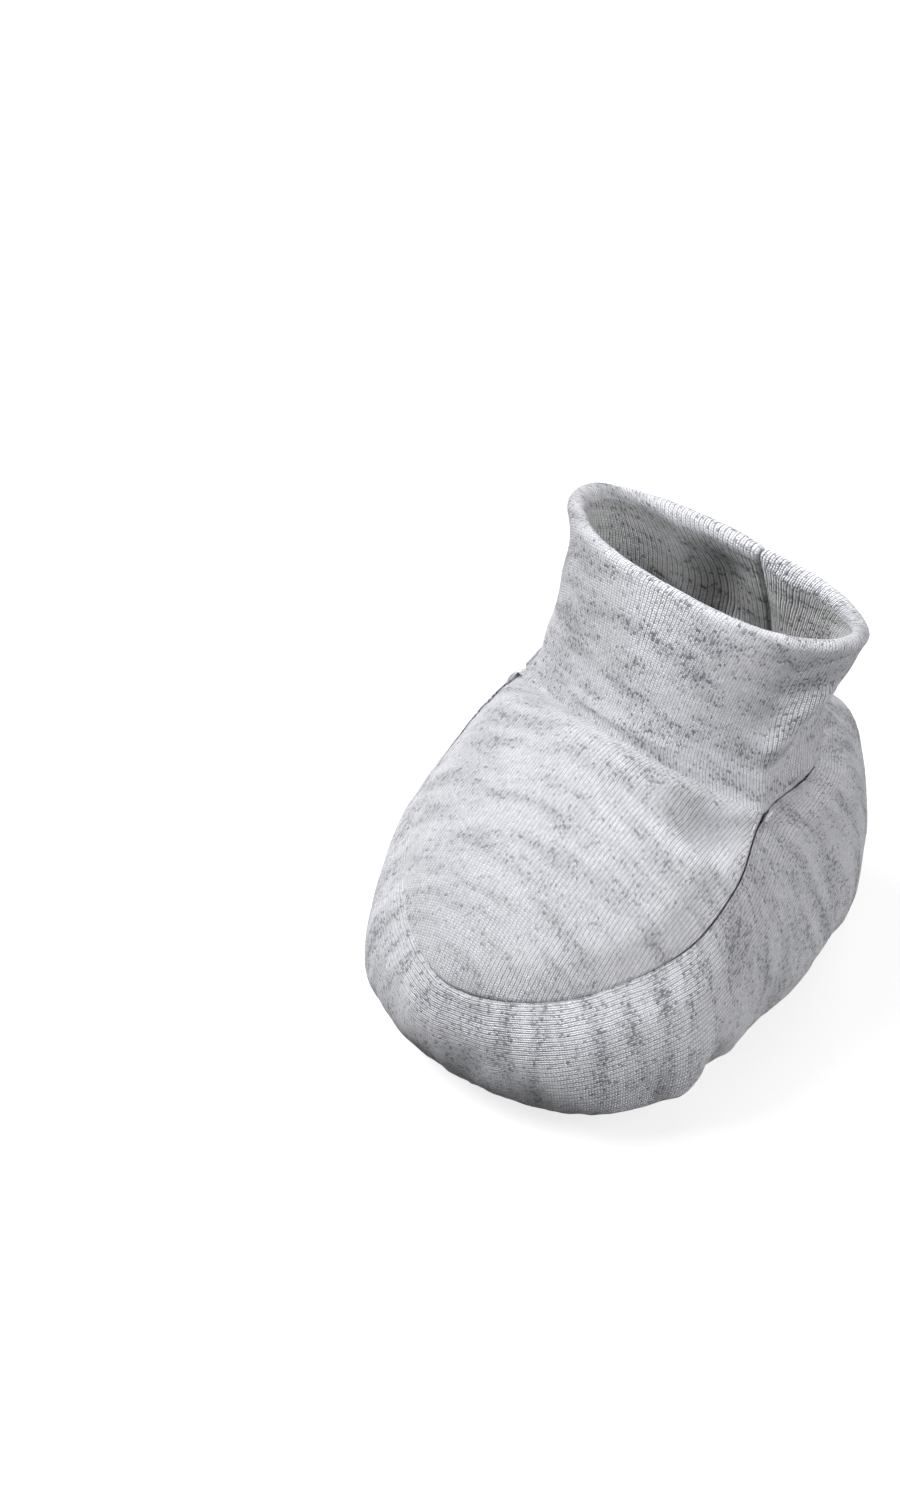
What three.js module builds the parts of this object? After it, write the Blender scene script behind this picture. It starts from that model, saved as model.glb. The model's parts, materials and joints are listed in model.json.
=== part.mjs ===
// A newborn baby's padded jersey bootie: a sole, a side band and a vamp, each in three layers of cloth
// (outer jersey, wadding, lining), with a folded ankle cuff and the threads of the seams between them.
// Millimetres, +Z up. The toe points to -Y, the heel to +Y, and the sole lies flat on z = 0.
import * as THREE from 'three';

// ---- Driving sizes ----
const footLength = 102;        // toe bulge to heel bulge
const footWidth = 68;          // across the ball of the foot
const collarHeight = 50;       // the seam between body and cuff, at the heel
const soleSeamHeight = 3;      // the seam between sole and side band
const vampCrown = 6;           // how far the stuffed vamp stands proud of its seams
const crownDirection = new THREE.Vector3(0, -0.3, 0.95);
const crownFullness = 0.8;     // below 1 the crown rises steeply from its seams
const slumpAngle = 3.3;        // degrees the soft upper sags towards +X
const slumpBuildUp = 20;       // height over which the sag grows to its full angle

const cuffHeight = 25;         // collar seam to the fold at the rim
const cuffWaistRise = 10;      // collar height to the narrow waist of the cuff
const cuffCentre = (16 * footLength) / 102;     // the middle of the ankle, behind the middle of the foot
const cuffLean = 2.5;          // how much further back the rim is
const cuffWaist = { halfWidth: 26, halfDepth: 19, centreY: cuffCentre, squareness: 2, pitch: 0 };
const cuffRim = {
  halfWidth: 31, halfDepth: 13, centreY: cuffCentre + cuffLean, squareness: 2.3, pitch: -12,
};

const shellThickness = 1.2;    // outer jersey, and each leg of the folded cuff
const waddingThickness = 1.6;
const liningThickness = 1.0;
const layerClearance = 0.3;    // air between one layer and the next
const cuffFoldClearance = 0.3; // air between the two legs of the folded cuff
const seamGap = 1.1;           // from a seam line to the edge of every layer beside it
const threadRadius = 0.22;
const liningThreadRadius = 0.12;
const threadEndClearance = 1.4; // a thread stops this far short of a crossing seam
const soleEdgeAngle = 45;      // slope at which the rolled edge of the sole meets the band
const soleCentreShare = -0.04; // middle of the sole's rings, as a share of the length

// ---- Mesh resolution ----
const columns = 48;            // round the foot; a multiple of 12
const bandRows = 6;
const cuffRows = 6;
const foldSteps = 4;           // half turn over the rim of the cuff
const threadSides = 6;
const skinEasing = 6;          // passes that ease the layer directions into each other
const leastSquareness = 0.8;   // limits how far a corner's layers are drawn out
const curveTension = 0.5;
const toeEdgeShare = 0.4;      // of the way from toe to instep corner, the vamp's toe edge
const soleFlatRings = [0, 0.4, 0.75];

// ---- Outlines ----
// Half outlines, toe to heel, as shares of half the width, half the length and the collar height. Two
// neighbouring points are a twelfth of the way round. The soft upper leans, so its halves differ.
const soleOutline = [
  [0, -0.91], [0.59, -0.81], [0.85, -0.51], [0.81, -0.14], [0.69, 0.26], [0.53, 0.63], [0, 0.83],
].map(([x, y]) => [x, y, soleSeamHeight / collarHeight]);
const bulgeOutline = [
  [0, -1, 0.24], [0.7, -0.86, 0.23], [1, -0.55, 0.25], [0.97, -0.17, 0.28],
  [0.86, 0.27, 0.35], [0.58, 0.71, 0.44], [0, 1, 0.5],
];
const leftBulgeOutline = [
  [0.64, -0.83, 0.23], [0.96, -0.51, 0.25], [0.98, -0.17, 0.28], [0.88, 0.27, 0.35], [0.63, 0.72, 0.44],
];
const topOutline = [
  [0, -0.96, 0.48], [0.51, -0.8, 0.52], [0.84, -0.47, 0.64], [0.86, -0.19, 0.77],
  [0.76, 0.03, 0.92], [0.72, 0.35, 0.98], [0, 0.71, 1],
];
const leftTopOutline = [
  [0.51, -0.8, 0.52], [0.86, -0.47, 0.64], [0.92, -0.21, 0.77], [0.84, 0.01, 0.92], [0.76, 0.34, 0.98],
];
const instepOutline = [[-0.38, -0.08, 0.98], [0, -0.14, 1.02], [0.38, -0.08, 0.98]];

const outlineSteps = 12;
const cornerColumn = (columns * 4) / outlineSteps;     // where vamp, band and cuff meet
// The column where the toe edge of the vamp becomes its side.
const toeColumn = Math.round(cornerColumn * toeEdgeShare);
const heelColumn = columns / 2;

const radians = THREE.MathUtils.degToRad;

function place([x, y, z]) {
  const point = new THREE.Vector3((x * footWidth) / 2, (y * footLength) / 2, z * collarHeight);
  return slumped(point);
}

function slumped(point) {
  const share = THREE.MathUtils.clamp((point.z - soleSeamHeight) / slumpBuildUp, 0, 1);
  point.z -= point.x * Math.tan(radians(slumpAngle)) * share;
  return point;
}

function closedCurve(rightHalf, leftHalf = rightHalf.slice(1, -1)) {
  const back = leftHalf.toReversed().map(([x, y, z]) => [-x, y, z]);
  const points = [...rightHalf, ...back].map(place);
  return new THREE.CatmullRomCurve3(points, true, 'catmullrom', curveTension);
}

const soleCurve = closedCurve(soleOutline);
const bulgeCurve = closedCurve(bulgeOutline, leftBulgeOutline);
const topCurve = closedCurve(topOutline, leftTopOutline);

const wrap = (share) => share - Math.floor(share);
const onCurve = (curve, column) => curve.getPoint(wrap(column / columns));

const instepCurve = new THREE.CatmullRomCurve3(
  [onCurve(topCurve, -cornerColumn), ...instepOutline.map(place), onCurve(topCurve, cornerColumn)],
  false, 'catmullrom', curveTension);

// ---- Surfaces, each a grid of points indexed [column][row] ----
const range = (count) => Array.from({ length: count }, (_, index) => index);

// A profile of the band passes near its bulge halfway up: the handle of a parabola through it.
function bandPoint(column, share) {
  const bottom = onCurve(soleCurve, column);
  const middle = onCurve(bulgeCurve, column);
  const top = onCurve(topCurve, column);
  const handle = middle.clone().multiplyScalar(2).addScaledVector(bottom, -0.5).addScaledVector(top, -0.5);
  return new THREE.QuadraticBezierCurve3(bottom, handle, top).getPoint(share);
}

function bandSurface() {
  return range(columns + 1).map((step) => (
    range(bandRows + 1).map((row) => bandPoint(heelColumn + step, row / bandRows))));
}

// The vamp fills the loop made by the toe and sides of the top outline and the instep curve.
const vampColumns = 2 * toeColumn;
const vampRows = cornerColumn - toeColumn;

function vampSurface() {
  const toeEdge = (u) => onCurve(topCurve, THREE.MathUtils.lerp(-toeColumn, toeColumn, u));
  const leftEdge = (v) => onCurve(topCurve, -toeColumn - v * vampRows);
  const rightEdge = (v) => onCurve(topCurve, toeColumn + v * vampRows);
  const blend = (terms) => terms.reduce(
    (sum, [weight, point]) => sum.addScaledVector(point, weight), new THREE.Vector3());
  return range(vampColumns + 1).map((column) => range(vampRows + 1).map((row) => {
    const u = column / vampColumns;
    const v = row / vampRows;
    const point = blend([
      [1 - v, toeEdge(u)], [v, instepCurve.getPoint(u)], [1 - u, leftEdge(v)], [u, rightEdge(v)],
      [-(1 - u) * (1 - v), toeEdge(0)], [-u * (1 - v), toeEdge(1)],
      [-(1 - u) * v, leftEdge(1)], [-u * v, rightEdge(1)],
    ]);
    return point.addScaledVector(crownDirection, vampCrown * crownShape(u) * crownShape(v));
  }));
}

function crownShape(share) {
  return Math.max(0, Math.sin(Math.PI * share)) ** crownFullness;
}

// The sole is flat in the middle and rolls up round its edge to the seam. Row 0 is its centre.
function soleSurface() {
  const edgeRadius = soleSeamHeight / (1 - Math.cos(radians(soleEdgeAngle)));
  const edgeAngles = [0, soleEdgeAngle / 3, (2 * soleEdgeAngle) / 3, soleEdgeAngle].map(radians);
  const centre = new THREE.Vector3(0, soleCentreShare * footLength, 0);
  return range(columns).map((column) => {
    const seam = onCurve(soleCurve, column);
    const outward = seam.clone().setZ(0).sub(centre);
    const reach = outward.length();
    outward.normalize();
    const flatReach = reach - edgeRadius * Math.sin(radians(soleEdgeAngle));
    const flat = soleFlatRings.map((share) => centre.clone().addScaledVector(outward, share * flatReach));
    const edge = edgeAngles.map((angle) => (
      centre.clone().addScaledVector(outward, flatReach + edgeRadius * Math.sin(angle))
        .setZ(edgeRadius * (1 - Math.cos(angle)))));
    edge[edge.length - 1].copy(seam);
    return [...flat, ...edge];
  });
}

function cuffRing({ halfWidth, halfDepth, centreY, squareness, pitch }, height, share) {
  const angle = 2 * Math.PI * share;
  const bulge = (value) => Math.sign(value) * Math.abs(value) ** (2 / squareness);
  const forward = -halfDepth * bulge(Math.cos(angle));
  const rise = forward * Math.tan(radians(pitch));
  return slumped(new THREE.Vector3(halfWidth * bulge(Math.sin(angle)), centreY + forward, height + rise));
}

// The collar runs from the heel by the left side and over the instep, back to the heel by the right.
function collarPoint(step) {
  const sideSteps = heelColumn - cornerColumn;
  if (step <= sideSteps) {
    return { base: onCurve(topCurve, heelColumn + step), share: 0.5 + (step / sideSteps) * (0.5 - cornerShare) };
  }
  if (step < sideSteps + vampColumns) {
    const u = (step - sideSteps) / vampColumns;
    return { base: instepCurve.getPoint(u), share: 1 - cornerShare + 2 * cornerShare * u };
  }
  const back = step - sideSteps - vampColumns;
  const share = 1 + cornerShare + (back / sideSteps) * (0.5 - cornerShare);
  return { base: onCurve(topCurve, cornerColumn + back), share };
}

// Where the instep corner lies round the cuff, counted from its front.
const cornerShare = 0.165;
const collarSteps = 2 * (heelColumn - cornerColumn) + vampColumns;
const foldRadius = shellThickness + cuffFoldClearance / 2;

function cuffSurface() {
  const rowsShare = 1 - foldRadius / cuffHeight;
  return range(collarSteps + 1).map((step) => {
    const { base, share } = collarPoint(step);
    const waist = cuffRing(cuffWaist, collarHeight + cuffWaistRise, share);
    const rim = cuffRing(cuffRim, collarHeight + cuffHeight, share);
    return range(cuffRows + 1).map((row) => {
      const w = (row / cuffRows) * rowsShare;
      return new THREE.Vector3()
        .addScaledVector(base, (1 - w) * (1 - 2 * w))
        .addScaledVector(waist, 4 * w * (1 - w))
        .addScaledVector(rim, w * (2 * w - 1));
    });
  });
}

// ---- One skin over the whole bootie: every point gets the direction its layers are stacked along ----
const positionKey = (point) => `${point.x.toFixed(3)} ${point.y.toFixed(3)} ${point.z.toFixed(3)}`;

function quads(grid, closed) {
  const count = closed ? grid.length : grid.length - 1;
  return range(count).flatMap((column) => range(grid[0].length - 1).map((row) => {
    const next = grid[(column + 1) % grid.length];
    return [grid[column][row], next[row], next[row + 1], grid[column][row + 1]];
  }));
}

// Directions are eased into each other over neighbouring points, so that deep layers don't cross at a seam.
function buildSkin(surfaces) {
  const places = new Map();
  const placeOf = (point) => {
    const key = positionKey(point);
    if (!places.has(key)) places.set(key, { faces: [], neighbours: new Set() });
    return places.get(key);
  };
  for (const { grid, closed } of surfaces) {
    for (const quad of quads(grid, closed)) {
      const across = quad[2].clone().sub(quad[0]);
      const normal = across.cross(quad[3].clone().sub(quad[1])).normalize();
      quad.forEach((point, at) => {
        const corner = placeOf(point);
        corner.faces.push(normal);
        corner.neighbours.add(placeOf(quad[(at + 1) % 4])).add(placeOf(quad[(at + 3) % 4]));
      });
    }
  }
  const mean = (directions) => directions.reduce(
    (sum, direction) => sum.add(direction), new THREE.Vector3()).normalize();
  const corners = [...places.values()];
  for (const corner of corners) corner.direction = mean(corner.faces);
  for (let pass = 0; pass < skinEasing; pass += 1) {
    for (const corner of corners) {
      const around = [...corner.neighbours].filter((other) => other !== corner);
      corner.eased = mean([mean(around.map((other) => other.direction)), corner.direction]);
    }
    for (const corner of corners) corner.direction = corner.eased;
  }
  return (point) => {
    const { direction, faces } = placeOf(point);
    const squareness = faces.reduce((sum, face) => sum + face.dot(direction), 0) / faces.length;
    return direction.clone().divideScalar(Math.max(squareness, leastSquareness));
  };
}

const surfaces = {
  vamp: { grid: vampSurface(), closed: false, openRows: true },
  side_band: { grid: bandSurface(), closed: false, openRows: true },
  sole: { grid: soleSurface(), closed: true, openRows: false },
  cuff: { grid: cuffSurface(), closed: false, openRows: true },
};
const skinDirection = buildSkin(Object.values(surfaces));
for (const surface of Object.values(surfaces)) {
  surface.directions = surface.grid.map((column) => column.map(skinDirection));
}

// ---- Panels ----
function pullIn(edge, inside, distance) {
  return edge.clone().lerp(inside, distance / edge.distanceTo(inside));
}

// The sewn edges of a surface as [column, row] places, anticlockwise seen from outside.
function sewnEdge({ grid, openRows }, foldedTop) {
  const lastColumn = grid.length - 1;
  const lastRow = grid[0].length - 1;
  const top = range(lastColumn + 1).map((column) => [lastColumn - column, lastRow]);
  if (!openRows) return { places: top, loops: true };
  const bottom = range(lastColumn + 1).map((column) => [column, 0]);
  const up = range(lastRow).map((row) => [lastColumn, row + 1]);
  const down = range(lastRow).map((row) => [0, lastRow - row]);
  if (foldedTop) return { places: [...down, ...bottom, ...up], loops: false };
  return { places: [...bottom, ...up, ...top.slice(1), ...down.slice(1)], loops: true };
}

// The surface with each sewn edge cut back square to its seam line.
function cutBack(surface, distance, { foldedTop = false } = {}) {
  const { places, loops } = sewnEdge(surface, foldedTop);
  const { grid, directions } = surface;
  const cut = grid.map((column) => [...column]);
  const inwards = (from, to, [c, r]) => {
    const along = grid[to[0]][to[1]].clone().sub(grid[from[0]][from[1]]);
    return directions[c][r].clone().cross(along).normalize();
  };
  places.forEach((place, at) => {
    const before = places[at - 1] ?? (loops ? places.at(-1) : null);
    const after = places[at + 1] ?? (loops ? places[0] : null);
    const sides = [];
    if (before) sides.push(inwards(before, place, place));
    if (after) sides.push(inwards(place, after, place));
    const [one, two] = [sides[0], sides.at(-1)];
    const step = one.clone().add(two).multiplyScalar(distance / (1 + one.dot(two)));
    cut[place[0]][place[1]] = grid[place[0]][place[1]].clone().add(step);
  });
  return cut;
}

function atDepth(grid, directions, depth) {
  return grid.map((column, c) => column.map((point, r) => (
    point.clone().addScaledVector(directions[c][r], -depth))));
}

// A closed sheet between an outer and an inner grid. With a pole, row 0 is a single point.
function sheetGeometry(outer, inner, { closed, pole }) {
  const positions = [];
  const index = new Map();
  const vertex = (point) => {
    const key = positionKey(point);
    if (!index.has(key)) {
      index.set(key, positions.length / 3);
      positions.push(point.x, point.y, point.z);
    }
    return index.get(key);
  };
  const triangles = [];
  const quad = (a, b, c, d) => {
    const [i, j, k, l] = [a, b, c, d].map(vertex);
    if (i !== j) triangles.push(i, j, k);
    if (k !== l) triangles.push(i, k, l);
  };
  quads(outer, closed).forEach(([a, b, c, d]) => quad(a, b, c, d));
  quads(inner, closed).forEach(([a, b, c, d]) => quad(a, d, c, b));
  const lastRow = outer[0].length - 1;
  const spans = closed ? outer.length : outer.length - 1;
  for (const column of range(spans)) {
    const next = (column + 1) % outer.length;
    quad(outer[column][lastRow], outer[next][lastRow], inner[next][lastRow], inner[column][lastRow]);
    if (!pole) quad(outer[next][0], outer[column][0], inner[column][0], inner[next][0]);
  }
  if (!closed) {
    const last = outer.length - 1;
    for (const row of range(lastRow)) {
      quad(outer[0][row], outer[0][row + 1], inner[0][row + 1], inner[0][row]);
      quad(outer[last][row + 1], outer[last][row], inner[last][row], inner[last][row + 1]);
    }
  }
  const geometry = new THREE.BufferGeometry();
  geometry.setAttribute('position', new THREE.Float32BufferAttribute(positions, 3));
  geometry.setIndex(triangles);
  geometry.computeVertexNormals();
  return geometry;
}

function panelGeometry(surface, from, thickness, setBack) {
  const cut = cutBack(surface, setBack);
  const outer = atDepth(cut, surface.directions, from);
  const inner = atDepth(cut, surface.directions, from + thickness);
  return sheetGeometry(outer, inner, { closed: surface.closed, pole: !surface.openRows });
}

// The cuff is one strip folded over at the rim: up its outer leg, over the fold, down its inner leg.
function cuffGeometry(surface) {
  const cut = cutBack(surface, seamGap, { foldedTop: true });
  const innerLeg = shellThickness + cuffFoldClearance;
  const outerFace = atDepth(cut, surface.directions, 0);
  const outerBack = atDepth(cut, surface.directions, shellThickness);
  const innerBack = atDepth(cut, surface.directions, innerLeg);
  const innerFace = atDepth(cut, surface.directions, innerLeg + shellThickness);
  const fold = (column, radius) => {
    const top = cut[column][cuffRows];
    const out = surface.directions[column][cuffRows];
    const up = top.clone().sub(cut[column][cuffRows - 1]).normalize();
    const centre = top.clone().addScaledVector(out, -foldRadius);
    return range(foldSteps - 1).map((step) => {
      const angle = (Math.PI * (step + 1)) / foldSteps;
      return centre.clone()
        .addScaledVector(out, radius * Math.cos(angle))
        .addScaledVector(up, radius * Math.sin(angle));
    });
  };
  const outside = cut.map((_, column) => [
    ...outerFace[column], ...fold(column, foldRadius), ...innerFace[column].toReversed()]);
  const inside = cut.map((_, column) => [
    ...outerBack[column], ...fold(column, cuffFoldClearance / 2), ...innerBack[column].toReversed()]);
  return sheetGeometry(outside, inside, { closed: false, pole: false });
}

// ---- Threads ----
// A thread follows a seam line at a depth below the skin. A closed one joins on itself.
function threadGeometry(seam, depth, radius, closed) {
  const centres = seam.map(({ point, direction }) => point.clone().addScaledVector(direction, -depth));
  const count = centres.length;
  const rings = centres.map((centre, at) => {
    const before = centres[closed ? (at + count - 1) % count : Math.max(at - 1, 0)];
    const after = centres[closed ? (at + 1) % count : Math.min(at + 1, count - 1)];
    const along = after.clone().sub(before).normalize();
    const side = along.clone().cross(seam[at].direction).normalize();
    const up = along.clone().cross(side);
    return range(threadSides).map((step) => {
      const angle = (2 * Math.PI * step) / threadSides;
      return centre.clone()
        .addScaledVector(side, radius * Math.cos(angle))
        .addScaledVector(up, radius * Math.sin(angle));
    });
  });
  const positions = rings.flat().flatMap((point) => point.toArray());
  const triangles = [];
  const at = (ring, side) => (ring % count) * threadSides + (side % threadSides);
  for (const ring of range(closed ? count : count - 1)) {
    for (const side of range(threadSides)) {
      triangles.push(at(ring, side), at(ring, side + 1), at(ring + 1, side + 1));
      triangles.push(at(ring, side), at(ring + 1, side + 1), at(ring + 1, side));
    }
  }
  if (!closed) {
    for (const side of range(threadSides - 2)) {
      triangles.push(at(0, 0), at(0, side + 2), at(0, side + 1));
      triangles.push(at(count - 1, 0), at(count - 1, side + 1), at(count - 1, side + 2));
    }
  }
  const geometry = new THREE.BufferGeometry();
  geometry.setAttribute('position', new THREE.Float32BufferAttribute(positions, 3));
  geometry.setIndex(triangles);
  geometry.computeVertexNormals();
  return geometry;
}

const seamPoint = (surface, column, row) => ({
  point: surface.grid[column][row],
  direction: surface.directions[column][row],
});

// A seam's points with both ends shortened, so that the thread clears the seams it runs up to.
function shortened(seam, clearance) {
  const kept = [...seam];
  while (kept[0].point.distanceTo(kept[1].point) < clearance) kept.shift();
  while (kept.at(-1).point.distanceTo(kept.at(-2).point) < clearance) kept.pop();
  const trim = (end, inside) => ({ ...end, point: pullIn(end.point, inside.point, clearance) });
  const first = trim(kept[0], kept[1]);
  const last = trim(kept.at(-1), kept.at(-2));
  return [first, ...kept.slice(1, -1), last];
}

const { vamp, side_band: sideBand, sole, cuff } = surfaces;
const topOfBand = (column) => {
  const step = (column - heelColumn + columns) % columns;
  return seamPoint(sideBand, step, bandRows);
};
const vampSeam = range(2 * cornerColumn + 1).map((step) => topOfBand(step - cornerColumn + columns));
const collarSeam = range(collarSteps).map((step) => seamPoint(cuff, step, 0));
const soleSeam = range(columns).map((column) => seamPoint(sole, column, sole.grid[0].length - 1));
const heelSeam = range(bandRows + 1).map((row) => seamPoint(sideBand, 0, row));
const cuffBackSeam = range(cuffRows + 1).map((row) => seamPoint(cuff, 0, row));

// ---- The bootie ----
const jersey = { color: 0xc3c6cf, roughness: 0.95, metalness: 0 };
const lining = { color: 0xd0d2d8, roughness: 0.95, metalness: 0 };
const wadding = { color: 0xf2f1ec, roughness: 1, metalness: 0 };
const thread = { color: 0x8b8d96, roughness: 0.8, metalness: 0 };

const bootie = new THREE.Group();

function addPiece(name, geometry, look) {
  const mesh = new THREE.Mesh(geometry, new THREE.MeshStandardMaterial(look));
  mesh.name = name;
  bootie.add(mesh);
}

const waddingDepth = shellThickness + layerClearance;
const liningDepth = waddingDepth + waddingThickness + layerClearance;

for (const panel of ['vamp', 'side_band', 'sole']) {
  const surface = surfaces[panel];
  addPiece(`${panel}_shell`, panelGeometry(surface, 0, shellThickness, seamGap), jersey);
  addPiece(`${panel}_wadding`,
    panelGeometry(surface, waddingDepth, waddingThickness, seamGap), wadding);
  addPiece(`${panel}_lining`, panelGeometry(surface, liningDepth, liningThickness, seamGap), lining);
}
addPiece('ankle_cuff', cuffGeometry(cuff), jersey);

const shellThreadDepth = shellThickness / 2;
const liningThreadDepth = liningDepth + liningThickness / 2;

function addThread(name, seam, closed) {
  const path = closed ? seam : shortened(seam, threadEndClearance);
  addPiece(`${name}_thread`, threadGeometry(path, shellThreadDepth, threadRadius, closed), thread);
}

function addLiningThread(name, seam, closed) {
  const path = closed ? seam : shortened(seam, threadEndClearance);
  addPiece(`lining_${name}_thread`,
    threadGeometry(path, liningThreadDepth, liningThreadRadius, closed), lining);
}

addThread('vamp_seam', vampSeam, false);
addThread('collar_seam', collarSeam, true);
addThread('sole_seam', soleSeam, true);
addThread('heel_seam', heelSeam, false);
addThread('cuff_seam', cuffBackSeam, false);
addLiningThread('vamp_seam', vampSeam, false);
addLiningThread('sole_seam', soleSeam, true);
addLiningThread('heel_seam', heelSeam, false);

export default bootie;
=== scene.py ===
import json
import math

import bpy
import numpy as np
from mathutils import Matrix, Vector, noise
from numpy.linalg import norm


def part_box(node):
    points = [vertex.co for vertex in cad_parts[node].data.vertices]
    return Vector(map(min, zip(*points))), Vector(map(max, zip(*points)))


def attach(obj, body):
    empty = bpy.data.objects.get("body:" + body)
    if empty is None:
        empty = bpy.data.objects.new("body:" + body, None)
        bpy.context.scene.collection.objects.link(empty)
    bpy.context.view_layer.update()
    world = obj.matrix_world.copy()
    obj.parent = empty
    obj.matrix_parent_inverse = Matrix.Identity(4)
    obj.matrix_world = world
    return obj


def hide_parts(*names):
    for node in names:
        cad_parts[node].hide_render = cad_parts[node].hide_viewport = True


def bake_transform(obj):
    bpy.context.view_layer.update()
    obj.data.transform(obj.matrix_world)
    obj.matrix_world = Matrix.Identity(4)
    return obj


# A newborn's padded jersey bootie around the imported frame. Lengths are in millimetres until a mesh
# is made, in the row's frame: toe to -Y, +X across the foot, +Z up.
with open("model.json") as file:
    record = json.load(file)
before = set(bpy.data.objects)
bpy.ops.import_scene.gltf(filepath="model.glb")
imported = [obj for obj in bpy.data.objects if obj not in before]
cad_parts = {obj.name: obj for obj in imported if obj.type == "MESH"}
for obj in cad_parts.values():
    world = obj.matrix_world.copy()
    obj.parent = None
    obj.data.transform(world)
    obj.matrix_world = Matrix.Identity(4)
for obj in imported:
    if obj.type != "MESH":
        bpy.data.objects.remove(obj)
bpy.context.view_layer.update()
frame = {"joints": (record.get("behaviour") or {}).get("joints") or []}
MM = 0.001

# ---- Sizes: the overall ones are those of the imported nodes, to the whole millimetre ----
band_low, band_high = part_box("side_band_shell")
hinge = next(joint for joint in frame["joints"] if joint["name"] == "ankle_flex")
FOOT_LENGTH = float(round((band_high[1] - band_low[1]) / MM))
FOOT_WIDTH = float(round((band_high[0] - band_low[0]) / MM))
COLLAR_HEIGHT = float(round(hinge["pos_m"][2] / MM))
CUFF_HEIGHT = 25.0
SOLE_SEAM_HEIGHT = 3.0
SLUMP = math.tan(math.radians(3.3))
SLUMP_BUILD_UP = 20.0
VAMP_CROWN = 6.0
CROWN_DIRECTION = np.array([0, -0.3, 0.95])
CROWN_FULLNESS = 0.8
SOLE_CENTRE_SHARE = -0.04
CUFF_WAIST_RISE = 10.0
ANKLE_MIDDLE = float(round(hinge["pos_m"][1] / MM))
CUFF_LEAN = 2.5
WAIST = dict(half_width=26.0, half_depth=19.0, centre_y=ANKLE_MIDDLE, squareness=2.0, pitch=0.0)
RIM = dict(half_width=31.0, half_depth=13.0, centre_y=ANKLE_MIDDLE + CUFF_LEAN, squareness=2.3,
           pitch=-12.0)
CORNER_SHARE = 0.165
SOLE_EDGE_ANGLE = math.radians(45)
FOLD_RADIUS = 1.35
COLUMNS = 48
CORNER = 16
TOE = 6
HEEL = 24
SIDE_STEPS = HEEL - CORNER
VAMP_STEPS = 2 * TOE
COLLAR_STEPS = 2 * SIDE_STEPS + VAMP_STEPS

SOLE_OUTLINE = [(0, -0.91), (0.59, -0.81), (0.85, -0.51), (0.81, -0.14), (0.69, 0.26),
                (0.53, 0.63), (0, 0.83)]
BULGE_OUTLINE = [(0, -1, 0.24), (0.7, -0.86, 0.23), (1, -0.55, 0.25), (0.97, -0.17, 0.28),
                 (0.86, 0.27, 0.35), (0.58, 0.71, 0.44), (0, 1, 0.5)]
LEFT_BULGE_OUTLINE = [(0.64, -0.83, 0.23), (0.96, -0.51, 0.25), (0.98, -0.17, 0.28),
                      (0.88, 0.27, 0.35), (0.63, 0.72, 0.44)]
TOP_OUTLINE = [(0, -0.96, 0.48), (0.51, -0.8, 0.52), (0.84, -0.47, 0.64), (0.86, -0.19, 0.77),
               (0.76, 0.03, 0.92), (0.72, 0.35, 0.98), (0, 0.71, 1)]
LEFT_TOP_OUTLINE = [(0.51, -0.8, 0.52), (0.86, -0.47, 0.64), (0.92, -0.21, 0.77),
                    (0.84, 0.01, 0.92), (0.76, 0.34, 0.98)]
INSTEP_OUTLINE = [(-0.38, -0.08, 0.98), (0, -0.14, 1.02), (0.38, -0.08, 0.98)]


# ---- Curves and surfaces ----
def spline(points, share, closed):
    """Uniform Catmull-Rom curve through points, at shares 0 to 1 of its run."""
    points = np.asarray(points, float)
    count = len(points)
    if closed:
        at = np.mod(share, 1.0) * count
        first = np.floor(at).astype(int)
        picks = [points[(first + k) % count] for k in (-1, 0, 1, 2)]
    else:
        ends = [2 * points[0] - points[1], *points, 2 * points[-1] - points[-2]]
        padded = np.array(ends)
        at = np.clip(share, 0, 1) * (count - 1)
        first = np.minimum(np.floor(at).astype(int), count - 2)
        picks = [padded[first + k] for k in (0, 1, 2, 3)]
    t = (at - first)[..., None]
    p0, p1, p2, p3 = picks
    m1, m2 = 0.5 * (p2 - p0), 0.5 * (p3 - p1)
    return ((2 * t**3 - 3 * t**2 + 1) * p1 + (t**3 - 2 * t**2 + t) * m1
            + (-2 * t**3 + 3 * t**2) * p2 + (t**3 - t**2) * m2)


def slumped(points):
    points = np.array(points, float)
    share = np.clip((points[..., 2] - SOLE_SEAM_HEIGHT) / SLUMP_BUILD_UP, 0, 1)
    points[..., 2] -= points[..., 0] * SLUMP * share
    return points


def placed(outline):
    scale = np.array([FOOT_WIDTH / 2, FOOT_LENGTH / 2, COLLAR_HEIGHT])
    return slumped(np.array(outline) * scale)


def loop_of(right_half, left_half=None):
    left_half = left_half or right_half[1:-1]
    return placed([*right_half, *((-x, y, z) for x, y, z in left_half[::-1])])


SOLE_LOOP = loop_of([(x, y, SOLE_SEAM_HEIGHT / COLLAR_HEIGHT) for x, y in SOLE_OUTLINE])
BULGE_LOOP = loop_of(BULGE_OUTLINE, LEFT_BULGE_OUTLINE)
TOP_LOOP = loop_of(TOP_OUTLINE, LEFT_TOP_OUTLINE)


def on_loop(loop, column):
    return spline(loop, np.asarray(column, float) / COLUMNS, True)


INSTEP_POINTS = [on_loop(TOP_LOOP, -CORNER), *placed(INSTEP_OUTLINE), on_loop(TOP_LOOP, CORNER)]


def instep(u):
    return spline(INSTEP_POINTS, np.asarray(u, float), False)


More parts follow.
